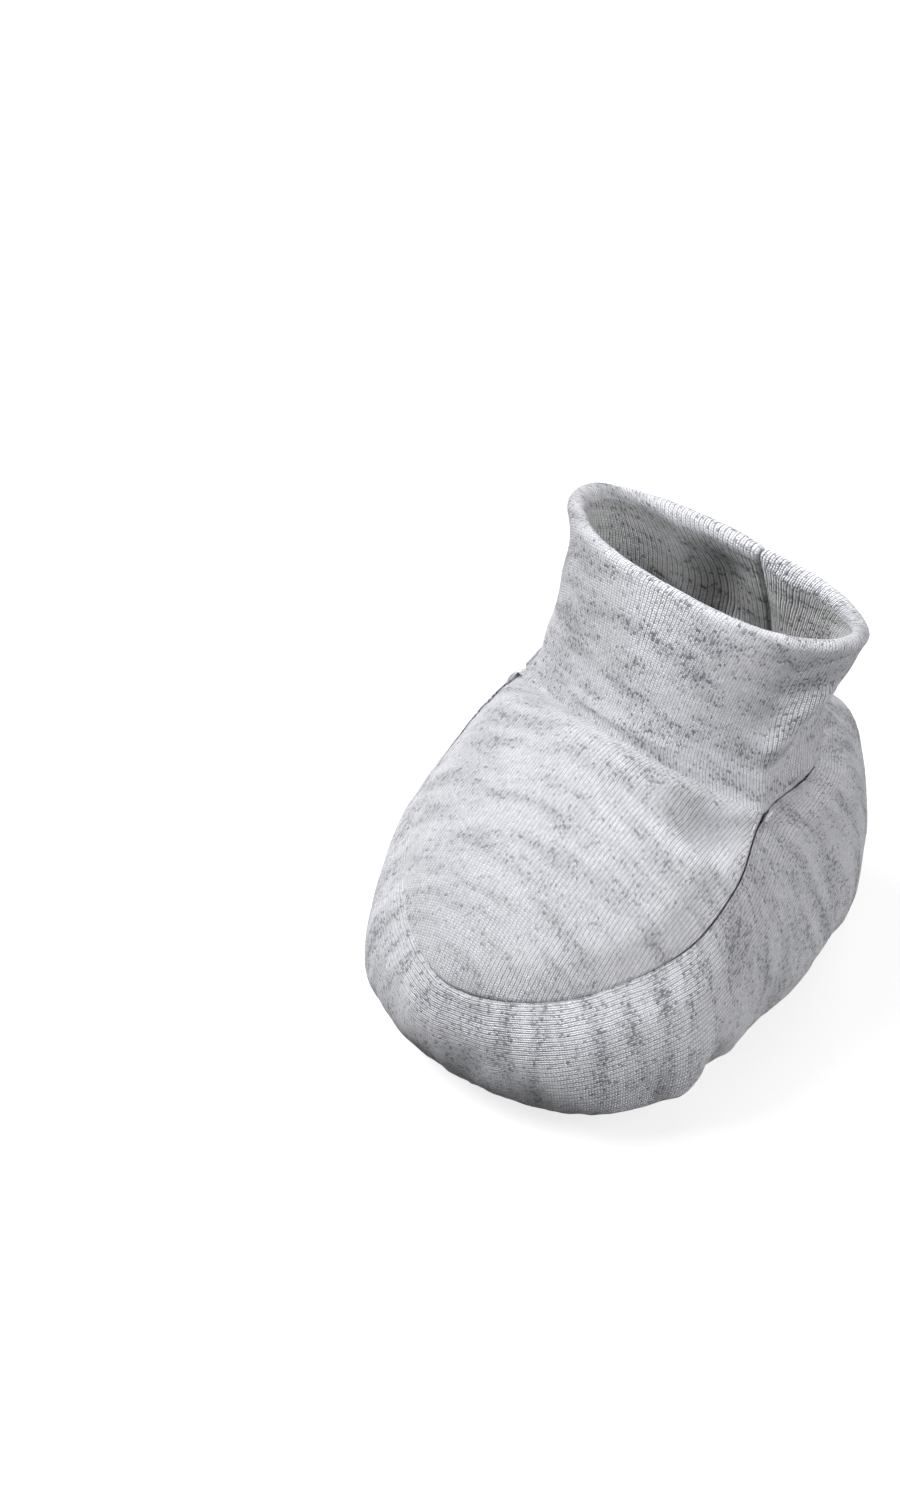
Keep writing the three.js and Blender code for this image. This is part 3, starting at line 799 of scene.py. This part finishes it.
def band_panel(columns_middle, rows_middle):
    columns = crowded_columns((HEEL, HEEL + COLUMNS), MM_PER_COLUMN, columns_middle)
    shares, rows = shares_for(band_at, columns, rows_middle, True, True)
    grid = band_at(columns[:, None], shares)
    v = lengths_along(grid[:, grid.shape[1] // 2])
    uv = np.stack([rows - rows[:, -1:], np.broadcast_to(v[:, None], rows.shape)], -1)
    left_collar = columns <= COLUMNS - CORNER + 1e-6
    right_collar = columns >= COLUMNS + CORNER - 1e-6
    vamp_part = ~left_collar & ~right_collar
    edges = [
        border("low", 0.9, 0.22, 3.2, 6.0, seed=11),
        border("high", lambda a: 0.5 + 0.7 * np.sin(np.pi * a) ** 2, 0.2, 3.0, 2.6, seed=12,
               part=vamp_part, inside=-1),
        border("high", lambda a: 1.1 - 0.55 * a**8, 0.22, 3.0, 3.5, seed=13, part=left_collar,
               inside=-1),
        border("high", lambda a: 1.1 - 0.55 * (1 - a) ** 8, 0.22, 3.0, 3.5, seed=14,
               part=right_collar, inside=-1),
        border("first", 0.7, 0.15, 2.5, 4.0, seed=15, inside=-1),
        border("last", 0.7, 0.15, 2.5, 4.0, seed=16),
    ]
    return Panel(grid, uv, False, edges, swelling=0.7)


def round_vamp(at):
    """Place (u, v) and side for at = 0 to 4 round the vamp: toe, +X side, instep, -X side."""
    side = np.minimum(at.astype(int), 3)
    t = at - side
    full, none = np.ones_like(t), np.zeros_like(t)
    u = np.choose(side, [t, full, 1 - t, none])
    v = np.choose(side, [none, t, full, 1 - t])
    return u, v, side


def vamp_border(count):
    """Places round the vamp, evenly along its edge."""
    fine = np.linspace(0, 4, 2001)
    u, v, _ = round_vamp(fine)
    run = lengths_along(vamp_at(u, v))
    pieces = []
    marks = [run[k * 500] for k in range(5)]
    for k in range(4):
        steps = max(4, round(count * (marks[k + 1] - marks[k]) / marks[4]))
        pieces.append(np.linspace(marks[k], marks[k + 1], steps, endpoint=False))
    places = np.concatenate(pieces)
    return round_vamp(np.interp(places, run, fine))


def vamp_panel(count, rows_middle):
    edge_u, edge_v, side = vamp_border(count)

    def ray(column, share):
        edges = edge_u[column], edge_v[column]
        return vamp_at(*(edge + (0.5 - edge) * share for edge in edges))

    columns = np.arange(len(edge_u))
    shares, _ = shares_for(ray, columns, rows_middle, True, False)
    grid = ray(columns[:, None], shares)
    x = VAMP_BEND * np.arcsin(np.clip(grid[..., 0] / VAMP_BEND, -0.98, 0.98))
    centre = vamp_at(np.full(200, 0.5), np.linspace(0, 1, 200))
    y = np.interp(grid[..., 1], centre[:, 1], lengths_along(centre))
    y += np.minimum(grid[..., 1] - centre[0, 1], 0)
    y += INSTEP_STEEPNESS * np.maximum(grid[..., 1] - centre[-1, 1], 0)
    after_instep = np.concatenate([np.flatnonzero(side == 3), np.flatnonzero(side < 2),
                                   np.flatnonzero(side == 2)[:1]])
    over_instep = np.concatenate([np.flatnonzero(side == 2), np.flatnonzero(side == 3)[:1]])
    edges = [
        border("low", lambda a: 0.35 + 0.5 * np.sin(np.pi * a) ** 2, 0.2, 3.4, 5.5, seed=21,
               part=after_instep),
        border("low", lambda a: 0.35 + 0.0 * a, 0.1, 3.0, 3.0, seed=22, part=over_instep, filled=True),
    ]
    return Panel(grid, np.stack([x, y], -1), True, edges, swelling=0.3)


def sole_panel(count, rows_middle):
    columns = np.linspace(0, COLUMNS, count, endpoint=False)

    def inwards(column, share):
        return sole_at(column, 1 - share)

    shares, _ = shares_for(inwards, columns, rows_middle, True, False)
    grid = inwards(columns[:, None], shares)[::-1]
    edges = [border("low", 0.8, 0.1, 2.5, 5.0, seed=31)]
    return Panel(grid, grid[..., :2].copy(), True, edges, swelling=0.0)


def cuff_panel(columns_middle, rows_middle, fold_rows):
    steps = crowded_columns((0, COLLAR_STEPS), MM_PER_COLLAR_STEP, columns_middle)
    top_share = 1 - FOLD_RADIUS / CUFF_HEIGHT

    def leg(column, share):
        return cuff_at(column, share * top_share)

    shares, _ = shares_for(leg, steps, rows_middle, True, False)
    outer = leg(steps[:, None], shares)
    directions = eased(normals_of(outer, False), 6)
    top, out = outer[:, -1], directions[:, -1]
    up = unit(outer[:, -1] - outer[:, -2])
    out = unit(out - up * (out * up).sum(-1, keepdims=True))
    centre = top - out * FOLD_RADIUS
    angle = np.linspace(0, np.pi, fold_rows + 2)[1:-1]
    fold = (centre[:, None] + FOLD_RADIUS * (out[:, None] * np.cos(angle)[None, :, None]
                                             + up[:, None] * np.sin(angle)[None, :, None]))
    inner = (outer - directions * 2 * FOLD_RADIUS)[:, ::-1]
    grid = np.concatenate([outer, fold, inner], 1)
    path = lengths_along(grid)
    around = steps * MM_PER_COLLAR_STEP * CUFF_NARROWING
    uv = np.stack([np.broadcast_to(around[:, None], path.shape), path], -1)
    corners = np.array([SIDE_STEPS, SIDE_STEPS + VAMP_STEPS]) / COLLAR_STEPS

    def collar_lip(a):
        place = np.asarray(a)
        gap = np.abs(place[:, None] - corners).min(1)
        over_vamp = (place > corners[0]) & (place < corners[1])
        return 0.35 + np.where(over_vamp, 0.0, 0.75) * smooth_step(gap / 0.05)

    edges = [
        border("low", collar_lip, 0.18, 3.5, 3.0, seed=41, filled=True),
        border("high", 0.5, 0.05, 2.0, 3.0, seed=42, inside=-1),
        border("first", 0.85, 0.08, 2.0, 2.5, seed=43, inside=-1),
        border("last", 0.85, 0.08, 2.0, 2.5, seed=44),
    ]
    panel = Panel(grid, uv, False, edges, swelling=0.25)
    panel.leg_rows = outer.shape[1]
    return panel


SHELL, CUFF_SHELL = 0.8, 0.9
FOLD_ROWS = 9
# Points along the edge and rows from seam to seam, for the jersey, the simulation and what is under
BAND_GRID, VAMP_GRID, SOLE_GRID, CUFF_GRID = (230, 26), (230, 24), (220, 26), (170, 26)
BAND_SIM, VAMP_SIM = (110, 8), (96, 9)
BAND_UNDER, VAMP_UNDER, SOLE_UNDER, CUFF_UNDER = (96, 10), (90, 9), (90, 10), (60, 8)
band, vamp, sole = band_panel(*BAND_GRID), vamp_panel(*VAMP_GRID), sole_panel(*SOLE_GRID)
cuff = cuff_panel(*CUFF_GRID, FOLD_ROWS)
share_directions([band, vamp, sole, cuff])


def sculpt(grid, touches):
    """Soft round bumps and dents: height, middle of the touch, and its radii, one line for each."""
    total = np.zeros(grid.shape[:2])
    for height, start, end, width in touches:
        start, end = np.array(start, float), np.array(end, float)
        run = end - start
        t = np.clip(((grid - start) @ run) / max(run @ run, 1e-9), 0, 1)
        gap = norm(grid - start - t[..., None] * run, axis=-1)
        total += height * np.exp(-((gap / width) ** 2))
    return total.ravel()


def dress(name, panel, skin, material, node, pole=False, slots=None, thickness=SHELL):
    piece = sheet_mesh(name, skin, inner_face(skin, thickness, panel.wrap), panel.uv, panel.wrap,
                       pole, slots)
    for look in material if isinstance(material, list) else [material]:
        piece.data.materials.append(look)
    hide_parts(node)
    return piece


BAND_TOUCHES = [
    (-3.6, (33, -19, 3), (34.5, -21, 10), 2.8),
    (1.0, (33, -28, 8), (33.5, -27, 16), 4.5),
    (-2.6, (22, 32, 46), (14, 38, 45), 4.6),
    (-2.3, (28, 15, 46), (23, 28, 46.5), 4.0),
    (-3.4, (13, 41, 42), (1, 45, 40), 6.0),
    (-2.0, (20, 43, 32), (26, 38, 18), 9.0),
    (-0.9, (31, -4, 14), (29, 8, 24), 5.0),
    (-0.7, (6, -50, 14), (4, -49, 20), 4.0),
]
VAMP_TOUCHES = [
    (-4.8, (22.8, -8, 43), (19.5, -9, 45), 3.4),
    (1.5, (22.5, -3, 45), (13, -7, 48), 2.4),
    (0.5, (-14, -6, 51), (10, -6, 50.5), 3.4),
    (-0.8, (8, -16, 48), (14, -14, 47), 3.5),
    (0.7, (-6, -12, 50), (4, -11, 50), 4.0),
]
CUFF_TOUCHES = [
    (1.5, (23.5, 6, 55), (27, 14.5, 63), 2.3),
    (-1.9, (25, 8.5, 50), (26, 14, 55), 3.0),
    (1.8, (-24, 6, 57), (-24, 9, 66), 5.5),
    (-3.8, (27, 18, 55), (25, 24, 56), 5.0),
    (0.5, (-8, -5, 54), (10, -5, 53), 3.5),
    (2.0, (-9, 34, 54), (-8, 33, 63), 3.4),
    (-1.3, (-17, 31, 56), (-16, 30, 68), 3.6),
    (-0.9, (5, 34, 56), (6, 33, 68), 4.5),
]


def settled_cloth(panel, coarse_panel):
    if not SIMULATE:
        return None
    points, movement = simulated(coarse_panel.grid, coarse_panel.wrap)
    return carried(points, movement, panel.grid)


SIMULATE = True
band_settled = settled_cloth(band, band_panel(*BAND_SIM))
vamp_settled = settled_cloth(vamp, vamp_panel(*VAMP_SIM))
band_skin = stuffed(band, sculpt(band.grid, BAND_TOUCHES), settled=band_settled)
vamp_skin = stuffed(vamp, sculpt(vamp.grid, VAMP_TOUCHES), settled=vamp_settled)
sole_skin = stuffed(sole, sculpt(sole.grid, BAND_TOUCHES[:1]))
sole_skin[..., 2] = np.maximum(sole_skin[..., 2], 0.0)
facing = np.ones(cuff.grid.shape[:2])
facing[:, cuff.leg_rows:] = 0
facing[:, -cuff.leg_rows:] = -1
middle_of_cuff = cuff.grid.copy()
middle_of_cuff[:, -cuff.leg_rows:] = cuff.grid[:, cuff.leg_rows - 1::-1]
cuff_skin = stuffed(cuff, sculpt(middle_of_cuff, CUFF_TOUCHES) * facing.ravel())

band_piece = dress("side_band_knit", band, band_skin, JERSEY, "side_band_shell")
vamp_piece = dress("vamp_knit", vamp, vamp_skin, JERSEY_CALM, "vamp_shell", pole=True)
sole_piece = dress("sole_knit", sole, sole_skin, JERSEY, "sole_shell", pole=True)
fold_start = cuff.leg_rows + FOLD_ROWS
# The cuff's outside takes the paler, painted-light copy of the jersey; its inside takes the jersey's
# back.
cuff_piece = dress("ankle_cuff_knit", cuff, cuff_skin, [JERSEY_CUFF_PAINTED_LIGHTER, JERSEY_BACK], "ankle_cuff",
                   slots=lambda row: row > fold_start, thickness=CUFF_SHELL)
for piece in (band_piece, vamp_piece, sole_piece):
    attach(piece, "foot")
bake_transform(cuff_piece)

# ---- Pads and linings, on coarser grids of the same surfaces ----
PAD_TOP, PAD_BASE, PAD_CLEARANCE = 1.0, 3.1, 2.3
PAD_EDGE_SHARE, PAD_EDGE_REACH = 0.45, 3.5
PAD_LEAST_DEPTH, LINING_LEAST_DEPTH = SHELL + 0.6, SHELL + 1.6
DENT_FOLLOWED = 1.15
PAD_LUMPS, WRINKLES = (0.15, 3.2, 5.0), [(0.22, 6.0, 12.0), (0.1, 2.6, 31.0)]   # height, size, seed
LINING_TOP, LINING_THICKNESS = 3.4, 0.6
coarse = {"side_band": band_panel(*BAND_UNDER), "vamp": vamp_panel(*VAMP_UNDER),
          "sole": sole_panel(*SOLE_UNDER), "cuff": cuff_panel(*CUFF_UNDER, 5)}
share_directions(list(coarse.values()))

skins = [(band_skin, False), (vamp_skin, True), (sole_skin, True)]
skin_points = np.concatenate([skin[::2].reshape(-1, 3) for skin, _ in skins])
skin_normals = np.concatenate([normals_of(skin, wrap)[::2].reshape(-1, 3) for skin, wrap in skins])


def kept_under(grid, depth):
    """The grid with every point at least this deep under the jersey's outer face."""
    points = grid.reshape(-1, 3).copy()
    for low in range(0, len(points), CHUNK):
        part = points[low:low + CHUNK]
        nearest = ((skin_points**2).sum(-1) - 2 * part @ skin_points.T).argmin(1)
        height = ((part - skin_points[nearest]) * skin_normals[nearest]).sum(-1)
        part -= skin_normals[nearest] * np.maximum(height + depth, 0)[:, None]
    return points.reshape(grid.shape)


def fitted(piece, look, node):
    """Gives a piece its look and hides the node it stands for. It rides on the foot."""
    piece.data.materials.append(look)
    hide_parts(node)
    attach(piece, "foot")
    return piece


def add_pad(panel, name):
    """Wadding that fills the space between jersey and lining, thinning out towards the seams."""
    full = smooth_step(panel.clearance / PAD_EDGE_REACH)[..., None]
    share = PAD_EDGE_SHARE + (1 - PAD_EDGE_SHARE) * full
    middle = (PAD_TOP + PAD_BASE) / 2
    top = middle + (PAD_TOP - middle) * share
    base = middle + (PAD_BASE - middle) * share
    height, size, seed = PAD_LUMPS
    rough = height * cloud(panel.grid, size, seed)[..., None]
    outer = panel.pulled_in - panel.turned * (top + rough - panel.dents + panel.tuck)
    inner = panel.pulled_in - panel.turned * (base - panel.dents + panel.tuck)
    outer = kept_under(outer, PAD_LEAST_DEPTH)
    pad = sheet_mesh(f"{name}_wadding_pad", outer, inner, panel.uv, panel.wrap, panel.wrap)
    fitted(pad, WADDING, f"{name}_wadding")


def add_lining(panel, name):
    """The lining, with the soft wrinkles of cloth cut a little large for the inside."""
    wrinkles = sum(height * cloud(panel.grid, size, seed) for height, size, seed in WRINKLES)
    wrinkles *= smooth_step(panel.clearance / 3)
    depth = LINING_TOP + wrinkles[..., None] - panel.dents + panel.tuck
    outer = kept_under(panel.pulled_in - panel.turned * depth, LINING_LEAST_DEPTH)
    inner = outer - panel.turned * LINING_THICKNESS
    lining = sheet_mesh(f"{name}_lining_knit", outer, inner, panel.uv, panel.wrap, panel.wrap)
    return fitted(lining, LINING, f"{name}_lining")


touches = {"side_band": BAND_TOUCHES, "vamp": VAMP_TOUCHES, "sole": BAND_TOUCHES[:1]}
for name in ("side_band", "vamp", "sole"):
    stuffed(coarse[name], clearance=PAD_CLEARANCE)
    dents = DENT_FOLLOWED * np.minimum(sculpt(coarse[name].pulled_in, touches[name]), 0)
    coarse[name].dents = dents.reshape(*coarse[name].grid.shape[:2], 1)
    add_pad(coarse[name], name)
    add_lining(coarse[name], name)


# ---- Sewing threads ----
def thread_path(line, directions, depth, pitch, wobble, step=0.25):
    """Running stitches: the seam line, sinking and rising once for each stitch."""
    run = lengths_along(line)
    at = np.arange(0, run[-1], step)
    path = np.stack([np.interp(at, run, line[:, k]) for k in range(3)], -1)
    inward = np.stack([np.interp(at, run, directions[:, k]) for k in range(3)], -1)
    return path - inward * (depth + wobble * np.sin(2 * np.pi * at / pitch))[:, None]


def add_thread(name, line, directions, closed, kind, blended=False):
    depth, radius, end, look, slot = kind
    run = lengths_along(line)
    trim = 0.0 if closed else end
    keep = (run >= trim) & (run <= run[-1] - trim)
    path = thread_path(line[keep], directions[keep], depth, STITCH_PITCH, STITCH_WAVE)
    piece = tube(f"{name}_stitches", path, radius, closed=closed)
    piece.data.materials.append(look)
    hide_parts(f"{name}_thread")
    if blended:
        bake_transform(piece)
    else:
        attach(piece, "foot")


STITCH_PITCH, STITCH_WAVE = 2.2, 0.12
# Depth, radius, how far an open thread stops from its seam's ends, look and slot
OUTER_THREAD = (0.8, 0.13, 0.9, THREAD, "thread")
INNER_THREAD = (3.75, 0.12, 4.0, LINING_THREAD, "lining")
seams = {
    "vamp_seam": (band.lines[1][0], band.seam_directions[1], False),
    "collar_seam": (cuff.lines[0][0], cuff.seam_directions[0], True),
    "sole_seam": (sole.lines[0][0], sole.seam_directions[0], True),
    "heel_seam": (band.lines[4][0], band.seam_directions[4], False),
    "cuff_seam": (cuff.lines[2][0], cuff.seam_directions[2], False),
}
for name, (line, directions, closed) in seams.items():
    add_thread(name, line, directions, closed, OUTER_THREAD, blended=name == "cuff_seam")
    if name in ("vamp_seam", "sole_seam", "heel_seam"):
        add_thread(f"lining_{name}", line, directions, closed, INNER_THREAD)


# ---- Floor, light and camera ----
LIGHT_TARGET = (0, 0, 0.03)
# Painted light: the floor glows by its own emission, FLOOR_GLOW near the middle rising to white
# further out.
FLOOR_GLOW = 0.75
FLOOR_SIZE, FLOOR_DROP = 60.0, 0.0002
GLOW_FROM, GLOW_TO = 0.6, 3.0         # the floor brightens to white between these distances
SKY_ABOVE, SKY_BELOW, SKY_BLEND = 0.08, 0.03, 0.3


def make_floor():
    mesh = bpy.data.meshes.new("floor")
    corners = [(x * FLOOR_SIZE, y * FLOOR_SIZE, 0) for x, y in ((-1, -1), (1, -1), (1, 1), (-1, 1))]
    mesh.from_pydata(corners, [], [(0, 1, 2, 3)])
    floor = linked("floor", mesh)
    look = Look("studio_floor", Roughness=0.9, Specular_IOR_Level=0.1, Emission_Strength=1.0)
    look.shader.inputs["Base Color"].default_value = grey(0.3)
    place = look.node("ShaderNodeTexCoord").outputs["Object"]
    reach = look.node("ShaderNodeVectorMath", {0: place}, operation="LENGTH").outputs["Value"]
    # painted light: the floor's emission colour, graded with distance from the middle
    glow = look.mix(look.ramp(reach, GLOW_FROM, GLOW_TO), grey(FLOOR_GLOW), grey(1.0))
    look.feed(look.shader.inputs["Emission Color"], glow)
    mesh.materials.append(look.material)
    floor.location.z = -FLOOR_DROP
    floor.visible_diffuse = False


def area_light(name, location, size, power):
    data = bpy.data.lights.new(name, "AREA")
    data.energy, data.size = power, size
    lamp = linked(name, data)
    lamp.location = location
    aim = Vector(LIGHT_TARGET) - Vector(location)
    lamp.rotation_euler = aim.to_track_quat("-Z", "Y").to_euler()


make_floor()
area_light("key", (-0.75, -0.75, 1.2), 1.0, 30.0)
area_light("left", (-1.1, -0.1, 1.0), 1.0, 19.0)
area_light("back", (-0.2, 1.1, 1.2), 1.0, 9.0)
area_light("right", (1.3, 0.4, 0.8), 1.0, 14.5)
area_light("low_right", (1.3, -0.3, 0.25), 0.6, 7.0)
world = bpy.data.worlds.new("studio")
world.use_nodes = True
sky = world.node_tree.nodes
directions, height = sky.new("ShaderNodeTexCoord"), sky.new("ShaderNodeSeparateXYZ")
strength = sky.new("ShaderNodeMapRange")
grades = {"From Min": -SKY_BLEND, "From Max": SKY_BLEND, "To Min": SKY_BELOW, "To Max": SKY_ABOVE}
for socket, value in grades.items():
    strength.inputs[socket].default_value = value
world.node_tree.links.new(directions.outputs["Generated"], height.inputs[0])
world.node_tree.links.new(height.outputs["Z"], strength.inputs["Value"])
world.node_tree.links.new(strength.outputs[0], sky["Background"].inputs["Strength"])
sky["Background"].inputs["Color"].default_value = (1, 1, 1, 1)
bpy.context.scene.world = world
bpy.context.scene.view_settings.view_transform = "Standard"

CAMERA_PLACE = (0.4624, -0.5546, 0.5757)
CAMERA_TARGET = (-0.0260, -0.0196, 0.0436)
CAMERA_LENS, SENSOR_WIDTH = 127.0, 36.0
camera_data = bpy.data.cameras.new("camera")
camera_data.lens = CAMERA_LENS
camera_data.sensor_width = SENSOR_WIDTH
camera_data.clip_start, camera_data.clip_end = 0.01, 50
camera = linked("camera", camera_data)
camera.location = CAMERA_PLACE
aim = Vector(CAMERA_TARGET) - Vector(CAMERA_PLACE)
camera.rotation_euler = aim.to_track_quat("-Z", "Y").to_euler()
bpy.context.scene.camera = camera
